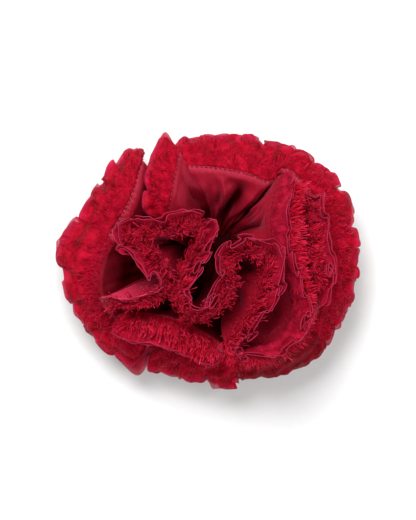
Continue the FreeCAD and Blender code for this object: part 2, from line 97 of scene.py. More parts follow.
# ---- the petals: seam points, free-edge points, each (x, y, rise above the base) ----
# Organza is on the left hand of someone who walks along a seam, and the inner petals' fringe on the
# right hand. The outer ring has fringe on both sides.
PETALS = {
    "ring_top": ([(30, 36, 18), (18, 39, 19), (4, 41.5, 19.5), (-9, 42.5, 19)],
                 [(33, 53, 9), (18, 57.5, 10), (3, 57.5, 11), (-12, 56, 12)]),
    "ring_fold": ([(-13, 46, 22), (-14.5, 38, 24), (-16, 29, 24), (-18, 21, 22)],
                  [(-20, 57, 16), (-27, 47, 18), (-29, 36, 19), (-30, 26, 18)]),
    "ring_upper_left": ([(-31.5, 41, 17), (-34, 31, 17.5), (-38.5, 21, 17.5), (-44.5, 11.5, 17)],
                        [(-32, 52.5, 8), (-42, 46, 8), (-50.5, 36, 8.5), (-58.5, 23, 8.5)]),
    "ring_left": ([(-46, 8.5, 17.5), (-50, 0, 18), (-52, -9, 18), (-51.5, -17, 18)],
                  [(-62, 17.5, 8), (-69.5, 9, 8.5), (-67.5, -5, 9), (-63.5, -17.5, 9)]),
    "ring_lower_left": ([(-50.5, -20, 17), (-45, -27.5, 15), (-38, -33.5, 13), (-30, -37.5, 11)],
                        [(-62, -21.5, 8), (-56, -32, 6), (-47, -42, 4), (-36, -49, 2)]),
    "ring_bottom": ([(-23.5, -39, 11), (-12, -42, 12), (0, -43.5, 12), (11, -44, 12)],
                    [(-26, -51, 2), (-11, -55, 2), (2, -57.5, 2.5), (14, -57.5, 3)]),
    "ring_lower_right": ([(14.5, -44, 12), (26, -43.5, 13), (37, -40, 14), (45, -34, 14.5)],
                         [(17.5, -54.5, 2), (32, -53, 2.5), (44, -48.5, 3), (53.5, -40, 4)]),
    "ring_right": ([(47, -30.5, 15.5), (51.5, -21, 16), (54.5, -10, 16.5), (56, 0, 17)],
                   [(55.5, -36, 5), (63, -26, 6), (67.5, -12, 7), (69.5, 2, 8)]),
    "ring_upper_right": ([(55.5, 4, 17.5), (53, 19, 18), (45, 33, 18), (33.5, 41, 18)],
                         [(69.5, 6, 8.5), (66, 24, 8.5), (55, 42, 8.5), (38, 51.5, 8.5)]),
    "pocket_rim": ([(-45.5, -18.5, 21), (-39.5, -20.5, 22), (-31, -19, 23), (-22, -14.5, 24)],
                   [(-48, -15.5, 34), (-41, -16.5, 35), (-31, -15.5, 36), (-22.5, -11, 37)]),
    "pocket_side": ([(-18.5, -9.5, 24), (-19, -3, 25), (-22, 2, 25), (-26.5, 5, 25)],
                    [(-22.5, -10.5, 38), (-28, -5, 39), (-33, 0, 39), (-37.5, 4, 39)]),
    "pocket_tip": ([(-28.3, 4.6, 25), (-32.5, 5.6, 25), (-33, 10, 25), (-28.3, 11.3, 25)],
                   [(-39.5, 4.5, 38), (-42.5, 8.5, 37), (-41, 14.5, 37), (-35, 18.5, 38)]),
    "heart_band": ([(-26.5, 11, 25), (-19, 11.5, 26), (-12, 13, 26), (-6.5, 14.5, 26)],
                   [(-32, 18.5, 39), (-22, 18.5, 40), (-12, 21.5, 40), (-4, 22, 40)]),
    "heart_side": ([(-5, 13, 26), (-6.5, 5, 26), (-11, -4, 26), (-14.5, -13, 26)],
                   [(0, 19, 40), (4, 11, 40), (-1, 2, 40), (-6, -8, 39)]),
    "heart_bend": ([(-15.5, -17, 26), (-13, -25, 26), (-5, -29, 26), (4, -24, 26), (10, -15, 26.5)],
                   [(-8, -13, 39), (-8.5, -18, 39), (-4.5, -21, 39), (0.5, -18, 39.5), (5, -12.5, 40)]),
    "arch_left": ([(12, -11, 27), (11.5, -3, 27), (15, 1.2, 27), (19.5, 2.4, 27)],
                  [(6, -9, 41), (4, 0, 41.5), (9, 7, 42), (18.5, 10, 42)]),
    "arch_right": ([(21, 2.3, 27), (25, 0, 27), (25.5, -6, 27), (23, -12, 27)],
                   [(20.5, 10, 42), (30, 7.5, 42), (35.5, -1, 41.5), (33.5, -12, 41)]),
    "arch_leg": ([(21.5, -15, 26.5), (17.5, -22, 26), (12.5, -29.5, 25), (7, -37, 24)],
                 [(32, -15, 40.5), (27.5, -23.5, 40), (21, -32, 38), (13.5, -41, 36)]),
    "right_pocket": ([(13, -37.5, 21), (21, -38, 22), (29, -36, 23), (35, -30.5, 23)],
                     [(14.5, -43.5, 32), (24, -44.5, 34), (34, -42, 35), (42, -35.5, 35)]),
    "right_pocket_side": ([(36.5, -27.5, 23), (37.5, -19, 23), (35, -9.5, 24), (32, -1, 25)],
                          [(44.5, -32, 34.5), (46, -20.5, 34), (43, -10, 34), (41, -1, 34)]),
    "right_crest": ([(31, 2.5, 25), (28.5, 13, 26), (28.5, 24, 26), (32, 36, 25)],
                    [(41, 2, 34), (40.5, 13, 35), (41, 25, 35), (44, 38, 33)]),
    "right_fringe": ([(44.5, 27, 20), (43.5, 14, 20), (45, 1, 20), (47, -13, 20)],
                     [(52, 31, 31), (55, 16, 31.5), (57, 0, 31.5), (57, -15, 31)]),
    "front": ([(3, -39.5, 21), (-8, -33, 22), (-20, -28.5, 22), (-31, -26.5, 21), (-39, -25.5, 20)],
              [(0.5, -48.5, 24), (-11, -43.5, 27), (-22, -39.5, 28), (-34, -37.5, 27), (-44, -35, 25)]),
}
# Petals that run on into each other, so that their edges line up.
RUNS = [
    ["pocket_rim", "pocket_side", "pocket_tip", "heart_band", "heart_side", "heart_bend", "arch_left",
     "arch_right", "arch_leg", "right_pocket", "right_pocket_side", "right_crest"],
    ["right_fringe"],
    ["front"],
    ["ring_bottom", "ring_lower_right", "ring_right", "ring_upper_right", "ring_top"],
    ["ring_fold"],
    ["ring_upper_left", "ring_left", "ring_lower_left"],
]


# ---- curves ----
def unit(v):
    return v / np.maximum(np.linalg.norm(v, axis=-1, keepdims=True), 1e-9)


def wander(x, wavelength, seed):
    """A smooth irregular wave of about this wavelength, between about -1 and 1."""
    rng = np.random.default_rng(seed)
    total = np.zeros_like(x, float)
    for share, stretch in ((0.5, 1.0), (0.35, 0.63), (0.3, 1.7)):
        total = total + share * np.sin(2 * np.pi * x / (wavelength * stretch * rng.uniform(0.9, 1.1))
                                       + rng.uniform(0, 2 * np.pi))
    return total


def rumple(u, v, size, seed):
    """Soft irregular dents over a sheet, about this far apart, between about -1 and 1."""
    rng = np.random.default_rng(seed)
    total = 0.0
    for _ in range(7):
        angle, length, shift = rng.uniform(0, np.pi), size * rng.uniform(0.8, 1.7), rng.uniform(0, 2 * np.pi)
        total = total + np.sin(2 * np.pi * (u * math.cos(angle) + v * math.sin(angle)) / length + shift)
    return total / 2.6


def smooth_through(knots, points, at):
    """A cubic through points, at the values at."""
    slope = np.gradient(points, knots, axis=0)
    i = np.clip(np.searchsorted(knots, at, side="right") - 1, 0, len(knots) - 2)
    h = (knots[i + 1] - knots[i])[:, None]
    t = (at[:, None] - knots[i][:, None]) / h
    a, b, ma, mb = points[i], points[i + 1], slope[i] * h, slope[i + 1] * h
    return ((2 * t**3 - 3 * t**2 + 1) * a + (t**3 - 2 * t**2 + t) * ma
            + (3 * t**2 - 2 * t**3) * b + (t**3 - t**2) * mb)


class Run:
    """The seam and the free edge of petals that follow each other, in millimetres."""

    def __init__(self, names):
        drawn = [np.array([p for n in names for p in PETALS[n][side]], float) for side in (0, 1)]
        self.seam_points, self.edge_points = [self.placed(d) for d in drawn]
        steps = [np.linalg.norm(np.diff(p, axis=0), axis=1) for p in (self.seam_points, self.edge_points)]
        self.knots = np.concatenate([[0], np.cumsum((steps[0] + steps[1]) / 2)])
        self.spans, first = {}, 0
        for n in names:
            last = first + len(PETALS[n][0]) - 1
            past = END_REACH.get(n, PLAIN_END_REACH)
            low = -past if first == 0 else (self.knots[first - 1] + self.knots[first]) / 2
            high = self.knots[-1] + PLAIN_END_REACH if last == len(self.knots) - 1 else (
                self.knots[last] + self.knots[last + 1]) / 2
            self.spans[n] = (low, high)
            first = last + 1
        self.length = self.knots[-1]

    @staticmethod
    def placed(points):
        return points * [PLAN, PLAN, RISE] + [0, 0, BASE[2]]

    def line(self, points, u):
        """Points at lengths u, straight on past either end."""
        inside = np.clip(u, 0, self.length)
        slope = np.gradient(points, self.knots, axis=0)
        end_slope = np.where((u < 0)[:, None], slope[0], slope[-1])
        return smooth_through(self.knots, points, inside) + end_slope * (u - inside)[:, None]

    def at(self, u):
        """Seam, free edge, direction of the path, and the foot of the wall, at lengths u."""
        seam, edge = self.line(self.seam_points, u), self.line(self.edge_points, u)
        ahead, behind = self.line(self.seam_points, u + 0.3), self.line(self.seam_points, u - 0.3)
        foot = BASE + (seam - BASE) * GATHER
        foot[:, 2] = BASE[2] + SATIN
        return seam, edge, unit(ahead - behind), foot


def end_taper(u, run, span, reach):
    """1 along a petal and falling to 0 at an end where nothing follows it, as a rounded corner."""
    taper = np.ones_like(u)
    for distance, free in ((u - span[0], span[0] < 0), (span[1] - u, span[1] > run.length)):
        if free:
            taper = np.minimum(taper, np.sqrt(np.clip(1 - (1 - np.clip(distance / reach, 0, 1)) ** 2, 0, 1)))
    return taper


# ---- meshes ----
def new_object(name, data):
    made = bpy.data.objects.new(name, data)
    bpy.context.scene.collection.objects.link(made)
    return made


def make_mesh(name, verts, quads, uvs=None, attributes=None, slot_index=None):
    """A mesh from vertices in millimetres and four-cornered faces."""
    mesh = bpy.data.meshes.new(name)
    verts, quads = np.asarray(verts, np.float32) * MM, np.asarray(quads, np.int32)
    mesh.vertices.add(len(verts))
    mesh.vertices.foreach_set("co", verts.ravel())
    mesh.loops.add(quads.size)
    mesh.loops.foreach_set("vertex_index", quads.ravel())
    mesh.polygons.add(len(quads))
    mesh.polygons.foreach_set("loop_start", np.arange(0, quads.size, 4, dtype=np.int32))
    mesh.update(calc_edges=True)
    if uvs is not None:
        layer = mesh.uv_layers.new(name="UVMap")
        layer.data.foreach_set("uv", np.asarray(uvs, np.float32)[quads.ravel()].ravel())
    for key, values in (attributes or {}).items():
        kind = "FLOAT_VECTOR" if np.ndim(values) == 2 else "FLOAT"
        store = mesh.attributes.new(key, kind, "POINT")
        store.data.foreach_set("vector" if kind == "FLOAT_VECTOR" else "value",
                               np.asarray(values, np.float32).ravel())
    if slot_index is not None:
        mesh.polygons.foreach_set("material_index", np.asarray(slot_index, np.int32))
    mesh.validate()
    mesh.shade_smooth()
    return mesh


def grid_quads(rows, columns, start=0, flip=False):
    i, j = np.meshgrid(np.arange(rows - 1), np.arange(columns - 1), indexing="ij")
    a = (start + i * columns + j).ravel()
    quads = np.stack([a, a + columns, a + columns + 1, a + 1], axis=1)
    return quads[:, ::-1] if flip else quads


def closed_sheet(grid, thickness):
    """Vertices and faces of a closed sheet about a (rows, columns, 3) grid, its left face first."""
    rows, columns = grid.shape[:2]
    normal = unit(np.cross(np.gradient(grid, axis=0), np.gradient(grid, axis=1)))
    front, back = grid + normal * thickness / 2, grid - normal * thickness / 2
    verts = np.concatenate([front.reshape(-1, 3), back.reshape(-1, 3)])
    n = rows * columns
    rim = np.concatenate([np.arange(columns), np.arange(1, rows) * columns + columns - 1,
                          (rows - 1) * columns + np.arange(columns - 2, -1, -1),
                          np.arange(rows - 2, 0, -1) * columns])
    following = np.roll(rim, -1)
    sides = np.stack([rim, following, following + n, rim + n], axis=1)
    quads = np.concatenate([grid_quads(rows, columns), grid_quads(rows, columns, n, flip=True), sides])
    return verts, quads


def hem_tube(line):
    """A thin tube, closed to a point at both ends, along a line of points."""
    along = unit(np.gradient(line, axis=0))
    across = unit(np.cross(along, [0.31, 0.17, 0.93]))
    up = np.cross(across, along)
    turns = np.linspace(0, 2 * np.pi, HEM_SIDES, endpoint=False)
    radii = np.full(len(line), HEM_RADIUS)
    radii[[0, -1]] = HEM_RADIUS * 0.05
    verts = line[:, None] + radii[:, None, None] * (across[:, None] * np.cos(turns)[None, :, None]
                                                    + up[:, None] * np.sin(turns)[None, :, None])
    i, j = np.meshgrid(np.arange(len(line) - 1), np.arange(HEM_SIDES), indexing="ij")
    a, b = (i * HEM_SIDES + j).ravel(), (i * HEM_SIDES + (j + 1) % HEM_SIDES).ravel()
    return verts.reshape(-1, 3), np.stack([a, a + HEM_SIDES, b + HEM_SIDES, b], axis=1)


def on_flower(piece, node):
    """The piece rides on the flower and stands for this CAD node, which it hides."""
    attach(piece, "flower")
    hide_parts(node)


def sheet_uvs(grid, u):
    """A UV map in millimetres of cloth: along the petal and up it."""
    v = np.concatenate([[0], np.cumsum(np.linalg.norm(np.diff(grid, axis=0), axis=-1).mean(axis=1))])
    uu, vv = np.meshgrid(u, v)
    return np.stack([uu.ravel(), vv.ravel()], axis=1)


def satin_piece(name, grid, u, thickness, finish, node, attributes=None):
    """A closed sheet of satin over a grid, as a piece of the flower."""
    verts, quads = closed_sheet(grid, thickness)
    uv = sheet_uvs(grid, u)
    mesh = make_mesh(name.removeprefix("petal_"), verts, quads, np.concatenate([uv, uv]), attributes)
    mesh.materials.append(FINISHES[finish])
    piece = new_object(name, mesh)
    on_flower(piece, node)


# ---- node trees ----
class Tree:
    """Adds nodes to a tree and links them as it goes."""

    def __init__(self, tree):
        self.tree = tree

    def add(self, kind, values=None, **settings):
        node = self.tree.nodes.new(kind)
        for key, value in settings.items():
            setattr(node, key, value)
        for key, value in (values or {}).items():
            self.give(node.inputs[key], value)
        return node

    def link(self, value, socket):
        self.tree.links.new(value, socket)

    def give(self, socket, value):
        """Links a socket to the input, or sets a constant on it."""
        if isinstance(value, bpy.types.NodeSocket):
            self.link(value, socket)
        else:
            socket.default_value = value

    def math(self, operation, a, b=0.0):
        return self.add("ShaderNodeMath", {0: a, 1: b}, operation=operation).outputs[0]

    def vector(self, operation, a, b=(0, 0, 0)):
        return self.add("ShaderNodeVectorMath", {0: a, 1: b}, operation=operation).outputs[0]

    def scaled(self, a, factor):
        return self.add("ShaderNodeVectorMath", {0: a, "Scale": factor}, operation="SCALE").outputs[0]

    def noise(self, place, scale, detail):
        return self.add("ShaderNodeTexNoise", {"Vector": place, "Scale": scale, "Detail": detail}).outputs

    def named(self, name, kind="FLOAT"):
        """An attribute of the mesh, in geometry nodes."""
        return self.add("GeometryNodeInputNamedAttribute", {"Name": name}, data_type=kind).outputs[0]

    def store(self, geometry, name, value, domain="POINT"):
        """Keeps a value on the geometry under this name, in geometry nodes."""
        values = {"Geometry": geometry, "Name": name, "Value": value}
        node = self.add("GeometryNodeStoreNamedAttribute", values, data_type="FLOAT", domain=domain)
        return node.outputs[0]


def group_tree(name, kind, inputs, outputs):
    """An empty node group with named sockets."""
    group = bpy.data.node_groups.new(name, kind)
    for way, sockets in (("INPUT", inputs), ("OUTPUT", outputs)):
        for label, data, *default in sockets:
            socket = group.interface.new_socket(label, in_out=way, socket_type="NodeSocket" + data)
            if default:
                socket.default_value = default[0]
    tree = Tree(group)
    return group, tree, tree.add("NodeGroupInput").outputs, tree.add("NodeGroupOutput").inputs


def weave_group():
    """Crossing threads: the height of the weave."""
    group, tree, given, out = group_tree(
        "weave", "ShaderNodeTree",
        [("Vector", "Vector"), ("Threads", "Float", 5000.0),
         ("Slub", "Float", 0.3)],
        [("Height", "Float")])
    waves = []
    for direction in ("X", "Y"):
        wave = tree.add("ShaderNodeTexWave", {"Vector": given["Vector"], "Scale": given["Threads"],
                                              "Distortion": given["Slub"], "Detail": 1.0},
                        bands_direction=direction)
        waves.append(wave.outputs["Fac"])
    tree.link(tree.math("MAXIMUM", waves[0], waves[1]), out["Height"])
    return group


def mottle_group():
    """Soft uneven dye: a slow and a fast noise, mixed."""
    group, tree, given, out = group_tree(
        "mottle", "ShaderNodeTree",
        [("Vector", "Vector"), ("Slow", "Float", 60.0),
         ("Fast", "Float", 700.0), ("Share", "Float", 0.4)],
        [("Fac", "Float")])
    slow, fast = [tree.noise(given["Vector"], given[key], 2.0)["Fac"] for key in ("Slow", "Fast")]
    mixed = tree.add("ShaderNodeMix", {"Factor": given["Share"], "A": slow, "B": fast})
    tree.link(mixed.outputs["Result"], out["Fac"])
    return group


WEAVE, MOTTLE = weave_group(), mottle_group()
THREAD_TINT = (1.0, 0.08, 0.20)
PAINTED_SHADE_COLOUR = (0.035, 0.0003, 0.001)  # painted shade: the colour that satin is darkened to far down in its gathers


class Finish(Tree):
    """A material under construction."""

    def __init__(self, name):
        self.material = bpy.data.materials.new(name)
        self.material.use_nodes = True
        super().__init__(self.material.node_tree)
        self.tree.nodes.clear()
        self.shader = self.add("ShaderNodeBsdfPrincipled")
        self.add("ShaderNodeOutputMaterial", {"Surface": self.shader.outputs[0]})
        self.place = self.add("ShaderNodeTexCoord").outputs["Object"]
        self.uv = self.add("ShaderNodeUVMap", uv_map="UVMap").outputs[0]

    def set(self, **values):
        for key, value in values.items():
            self.give(self.shader.inputs[key.replace("_", " ")], value)

    def group(self, tree, **values):
        node = self.add("ShaderNodeGroup", node_tree=tree)
        for key, value in values.items():
            self.give(node.inputs[key], value)
        return node.outputs

    def painted(self, name):
        """A value that the mesh carries at each point."""
        return self.add("ShaderNodeAttribute", attribute_name=name).outputs["Fac"]

    def mixed(self, factor, a, b):
        """Colour a where the factor is 0, and colour b where it is 1."""
        return self.add("ShaderNodeMix", {"Factor": factor, "A": a, "B": (*b, 1)},
                        data_type="RGBA").outputs["Result"]

    def ramp(self, factor, *stops):
        node = self.add("ShaderNodeValToRGB", {0: factor})
        elements = node.color_ramp.elements
        while len(elements) < len(stops):
            elements.new(0.5)
        for element, (place, colour) in zip(elements, stops):
            element.position, element.color = place, (*colour, 1)
        return node.outputs[0]

    def spread(self, factor, low, high):
        return self.add("ShaderNodeMapRange", {"Value": factor, "To Min": low, "To Max": high}).outputs[0]

    def bump(self, height, distance, strength=1.0):
        node = self.add("ShaderNodeBump", {"Height": height, "Distance": distance, "Strength": strength})
        self.set(Normal=node.outputs[0])


def lustre(finish, amount, sheen, tint, roughness=0.4):
    """Shine that is coloured by the dyed fibres, as on satin, and not white."""
    finish.set(Specular_IOR_Level=amount, Specular_Tint=(*tint, 1), Sheen_Weight=sheen,
               Sheen_Roughness=roughness, Sheen_Tint=(*tint, 1))


def satin_finish(name, dark, light, roughness, shade_colour=None):
    """Dyed satin with painted shade: darker and less shiny down in the gathers, where its shade attribute is
    1.
    """
    f = Finish(name)
    mottle = f.group(MOTTLE, Vector=f.place, Slow=45.0, Fast=900.0, Share=0.35)["Fac"]
    weave = f.group(WEAVE, Vector=f.uv, Threads=0.9, Slub=0.4)
    colour = f.ramp(mottle, (0.25, dark), (0.75, light))
    # painted shade: the colour is mixed towards the shade colour where the shade attribute is 1
    if shade_colour:
        painted_shade = f.painted("painted_shade")
        colour = f.mixed(painted_shade, colour, shade_colour)
    f.set(Base_Color=colour, Roughness=f.spread(mottle, roughness - 0.06, roughness + 0.08))
    lustre(f, 0.9, 0.2, (1.0, 0.22, 0.36))
    # painted shade also takes the shine and the sheen away down in the gathers
    if shade_colour:
        f.set(Specular_IOR_Level=f.spread(painted_shade, 1.0, 0.02), Sheen_Weight=f.spread(painted_shade, 0.22, 0.0))
    crinkle = f.noise(f.place, 260.0, 3.0)["Fac"]
    height = f.math("ADD", f.math("MULTIPLY", weave["Height"], 0.16), crinkle)
    f.bump(height, 0.0006, 0.5)
    return f.material


def organza_finish(name, dark, light, cover, spread, streak, rim_colour=None):
    """Thin cloth that shows what is behind it, more in some places than in others."""
    f = Finish(name)
    streak_place = f.add("ShaderNodeMapping", {"Vector": f.uv, "Scale": (1.0, streak, 1.0)}).outputs[0]
    streaks = f.noise(streak_place, 1.1, 4.0)["Fac"]
    blots = f.noise(f.uv, 0.24, 2.0)["Fac"]
    mottle = f.group(MOTTLE, Vector=f.place, Slow=70.0, Fast=1300.0, Share=0.5)["Fac"]
    tone = f.math("MULTIPLY", f.math("ADD", streaks, mottle), 0.5)
    solid = f.math("ADD", f.math("MULTIPLY", tone, 0.4), f.math("MULTIPLY", blots, 0.6))
    thick = f.add("ShaderNodeMapRange", {"Value": solid, "From Min": 0.36, "From Max": 0.64,
                                         "To Min": cover - spread, "To Max": cover + spread}).outputs[0]
    colour = f.ramp(solid, (0.36, dark), (0.64, light))
    if rim_colour:
        colour = f.mixed(f.math("MULTIPLY", f.painted("rim"), streaks), colour, rim_colour)
    f.set(Base_Color=colour, Roughness=0.5, Alpha=thick)
    lustre(f, 0.3, 0.3, THREAD_TINT)
    weave = f.group(WEAVE, Vector=f.uv, Threads=1.4, Slub=0.8)
    f.bump(f.math("ADD", f.math("MULTIPLY", weave["Height"], 0.2), streaks), 0.0004, 0.5)
    return f.material


def thread_finish(name, dark, light, roughness=0.5, tips=None):
    """Cut thread, each a little lighter or darker than the next, and perhaps paler tips."""
    f = Finish(name)
    stops = [(0.0, dark), (0.6, light), (0.95, tips)] if tips else [(0.0, dark), (1.0, light)]
    f.set(Base_Color=f.ramp(f.painted("tone"), *stops), Roughness=roughness)
    lustre(f, 0.3, 0.25, THREAD_TINT)
    f.bump(f.noise(f.place, 2200.0, 1.0)["Fac"], 0.00008, 0.6)
    return f.material


def plain_cloth_finish(name, dark, light, threads, roughness=0.85):
    """Cloth with no UV map of its own: stiffened weave or felt, by place."""
    f = Finish(name)
    mottle = f.group(MOTTLE, Vector=f.place, Slow=150.0, Fast=threads, Share=0.65)["Fac"]
    f.set(Base_Color=f.ramp(mottle, (0.3, dark), (0.7, light)), Roughness=roughness)
    lustre(f, 0.1, 0.03, (1.0, 0.2, 0.3), roughness=0.6)
    f.bump(f.noise(f.place, threads, 4.0)["Fac"], 0.0004, 0.8)
    return f.material


def steel_finish(name, colour, roughness):
    """Nickel plate with fine rubbed scratches and slight tarnish."""
    f = Finish(name)
    rubbed = f.add("ShaderNodeMapping", {"Vector": f.place, "Scale": (40.0, 900.0, 900.0)}).outputs[0]
    scratches = f.noise(rubbed, 3.0, 4.0)["Fac"]
    mottle = f.group(MOTTLE, Vector=f.place, Slow=120.0, Fast=600.0, Share=0.3)["Fac"]
    worn = tuple(c * 0.8 for c in colour)
    f.set(Base_Color=f.ramp(mottle, (0.3, worn), (0.6, colour)), Metallic=1.0,
          Roughness=f.spread(scratches, roughness - 0.08, roughness + 0.14))
    f.bump(scratches, 0.00003, 0.5)
    return f.material


def silicone_finish(name):
    """Clear silicone with fine ribs across it."""
    f = Finish(name)
    mottle = f.group(MOTTLE, Vector=f.place, Slow=200.0, Fast=1500.0, Share=0.5)["Fac"]
    f.set(Base_Color=f.ramp(mottle, (0.3, (0.72, 0.72, 0.7)), (0.7, (0.82, 0.82, 0.8))), Roughness=0.35,
          Alpha=0.72)
    ribs = f.add("ShaderNodeTexWave", {"Vector": f.place, "Scale": 180.0}, bands_direction="X").outputs["Fac"]
    f.bump(ribs, 0.0003, 0.7)
    return f.material


FINISHES = {
    "satin": satin_finish("satin", (0.24, 0.0022, 0.010), (0.37, 0.007, 0.027), 0.33, PAINTED_SHADE_COLOUR),
    # painted light: a lighter copy of the satin for a brightly lit patch
    "painted_light_satin": satin_finish("painted_light_satin", (0.44, 0.012, 0.042), (0.60, 0.03, 0.085), 0.33, PAINTED_SHADE_COLOUR),
    # painted shade: a darker copy of the satin for the petals lying under the flower
    "shaded_under_satin": satin_finish("shaded_under_satin", (0.15, 0.001, 0.006), (0.20, 0.0016, 0.010), 0.5),
    "organza": organza_finish("organza", (0.27, 0.0015, 0.010), (0.50, 0.010, 0.043), 0.56, 0.26, 0.12),
    "ring_organza": organza_finish("ring_organza", (0.24, 0.0004, 0.004), (0.49, 0.004, 0.024), 0.72, 0.24,
                                   0.6, (0.62, 0.026, 0.10)),
    # painted shade: a darker copy of the organza for the ring's shaded lower right
    "shaded_organza": organza_finish("shaded_organza", (0.17, 0.0006, 0.004), (0.26, 0.0012, 0.009), 0.84, 0.12,
                                   0.3),
    "backing": organza_finish("backing", (0.22, 0.0005, 0.004), (0.40, 0.002, 0.014), 0.86, 0.12, 0.4),
    "hem": thread_finish("hem", (0.36, 0.004, 0.020), (0.52, 0.045, 0.11), 0.45),
    "frayed_thread": thread_finish("frayed_thread", (0.18, 0.0004, 0.003), (0.62, 0.004, 0.024),
                                   tips=(0.90, 0.032, 0.10)),
    "ring_thread": thread_finish("ring_thread", (0.30, 0.0006, 0.006), (0.64, 0.007, 0.042)),
    "seam_thread": thread_finish("seam_thread", (0.12, 0.001, 0.004), (0.18, 0.002, 0.008)),
    # painted shade: the base cloth is made near black for the shade in the flower's throat
    "shaded_base_cloth": plain_cloth_finish("shaded_base_cloth", (0.010, 0.0002, 0.0006), (0.02, 0.0004, 0.001), 1800.0),
    "felt": plain_cloth_finish("felt", (0.03, 0.0015, 0.003), (0.06, 0.003, 0.006), 1200.0, 0.95),
    "nickel": steel_finish("nickel", (0.72, 0.71, 0.69), 0.26),
    "spring_wire": steel_finish("spring_wire", (0.55, 0.55, 0.56), 0.32),
    "silicone": silicone_finish("silicone"),
}


# ---- satin petals ----
ALONG_STEP = 0.42
WALL_ROWS, SEAM_ROWS = 30, 12
SEAM_FOLD = 3.0  # height of the soft fold below a seam
PLEAT_DEPTH, PLEAT_SPACING = 0.8, 8.5
DENT_DEPTH, DENT_SIZE = 0.6, 9
PUCKER_DEPTH = 0.13
SATIN_CORNER, FRILL_CORNER = 6.0, 5.0  # roundness of a free end
FOLD_DEPTH, FOLD_SPACING = 3.3, 18.0
FOLDS = {"ring_top": 2.2, "pocket_rim": 3.6}  # petals whose folds have another depth
STEEPNESS = 2.5  # how far a wall sags near its foot
BARE_SATIN = {"pocket_rim": 10.0, "arch_leg": 4.0, "front": 1.5}  # satin that shows past its seam
# How far up a wall its painted shade reaches, and how much painted shade a crease's hollow adds to it.
PLAIN_SHADE, RING_SHADE, CREASE_SHADE = 1.25, 1.36, 0.24
SHADES = {"ring_top": 1.2, "ring_upper_left": 2.0, "ring_left": 2.1, "ring_fold": 1.5, "front": 2.3,
          "pocket_side": 1.7, "pocket_rim": 1.05, "right_crest": 1.0, "right_pocket": 1.5}
INWARD = {"ring_top": 0.6, "ring_upper_right": 0.4}  # feet that are gathered further in than the rest
# Creases in a wall: place along the petal at its seam and at its foot, height, and half width.
CREASES = {"ring_top": [(0.58, 0.60, 3.4, 2.4), (0.36, 0.46, -4.6, 3.6), (0.14, 0.30, 1.6, 2.2)],
           "pocket_rim": [(0.30, 0.45, 2.2, 2.4), (0.72, 0.62, 1.8, 2.0)],
           "arch_leg": [(0.35, 0.6, 1.8, 2.4)], "right_crest": [(0.2, 0.4, 1.7, 2.2), (0.55, 0.5, -1.5, 2.4),
                                                             (0.82, 0.66, 1.5, 2.0)],
           "front": [(0.3, 0.4, 1.8, 3.0), (0.7, 0.6, 1.8, 3.0)]}
PAINTED_LIGHT_SATINS = ("pocket_rim",)  # petals in the lighter copy of the satin: painted light, for a patch that catches the light
PLAIN_BULGE, BULGE = -1.2, {"ring_fold": 4.5}  # how far a satin wall swells to its left


def ridge(wave):
    """Turns an even wave into broad rounded ridges with narrow valleys."""
    return 1.6 * np.sqrt(np.clip(0.5 + 0.45 * wave, 0, 1)) - 1.1


def satin_grid(name, run, span, seed):
    """A petal's satin: a gathered wall from its foot, a soft fold at the seam, and a margin."""
    columns = max(24, int((span[1] - span[0]) / ALONG_STEP))
    u = np.linspace(span[0], span[1], columns)
    seam, edge, along, foot = run.at(u)
    foot = foot + (BASE - foot) * [1, 1, 0] * INWARD.get(name, 0.0)
    wall, band = unit(seam - foot), unit(edge - seam)
    left = unit(np.cross(wall, along))
    margin = (BARE_SATIN.get(name, SATIN_MARGIN) * end_taper(u, run, span, SATIN_CORNER))[:, None]
    height = np.linalg.norm(seam - foot, axis=1)
    shade = SHADES.get(name, RING_SHADE if name.startswith("ring") else PLAIN_SHADE)
    rows, painted_shade = [], []
    for s in np.linspace(0, 1, WALL_ROWS, endpoint=False):
        # painted shade: darkest at the wall's foot, fading up the wall as far as its shade reaches
        dark = np.full_like(u, np.clip(shade - 1.5 * s, 0, 1) ** 0.8)
        t = s * (1 - SEAM_FOLD / height)[:, None]
        pleat = PLEAT_DEPTH * (1 - s) ** 1.5 * min(1, s * 9) * wander(u + 1.5 * s, PLEAT_SPACING, seed)
        fold = FOLDS.get(name, FOLD_DEPTH) * math.sin(math.pi * s ** 1.15)
        fold = fold * ridge(wander(u + 7 * s, FOLD_SPACING, seed + 1))
        dent = DENT_DEPTH * math.sin(math.pi * s) * rumple(u, height.mean() * s, DENT_SIZE, seed + 3)
        for top, bottom, rise, half in CREASES.get(name, []):
            share = top + (bottom - top) * (1 - s) ** 0.7 + 0.05 * math.sin(7 * s)
            middle = span[0] + (span[1] - span[0]) * share
            crease = math.sin(math.pi * s ** 1.3) * np.exp(-((u - middle) / half) ** 2)
            # a crease's hollow adds painted shade
            fold, dark = fold + rise * crease, dark + max(0.0, -CREASE_SHADE * rise) * crease
        painted_shade.append(np.clip(dark, 0, 1))
        belly = BULGE.get(name, PLAIN_BULGE) * math.sin(math.pi * s ** 0.8)
        sink = np.stack([0 * u, 0 * u, -STEEPNESS * math.sin(math.pi * s) * (1 - s) * height / 30], axis=1)
        rows.append(foot + (seam - foot) * t + left * (pleat + fold + dent + belly)[:, None] + sink)
    low, high = seam - wall * SEAM_FOLD, seam + band * np.maximum(margin, 0.8)
    for t in np.linspace(0, 1, SEAM_ROWS):
        bend = (1 - t) ** 2 * low + 2 * t * (1 - t) * seam + t * t * high
        pucker = PUCKER_DEPTH * math.sin(math.pi * t) * wander(u, STITCH_PITCH * 1.6, seed + 2)
        rows.append(bend + left * pucker[:, None])
    return np.array(rows), u, np.concatenate([np.array(painted_shade), np.zeros((SEAM_ROWS, columns))])


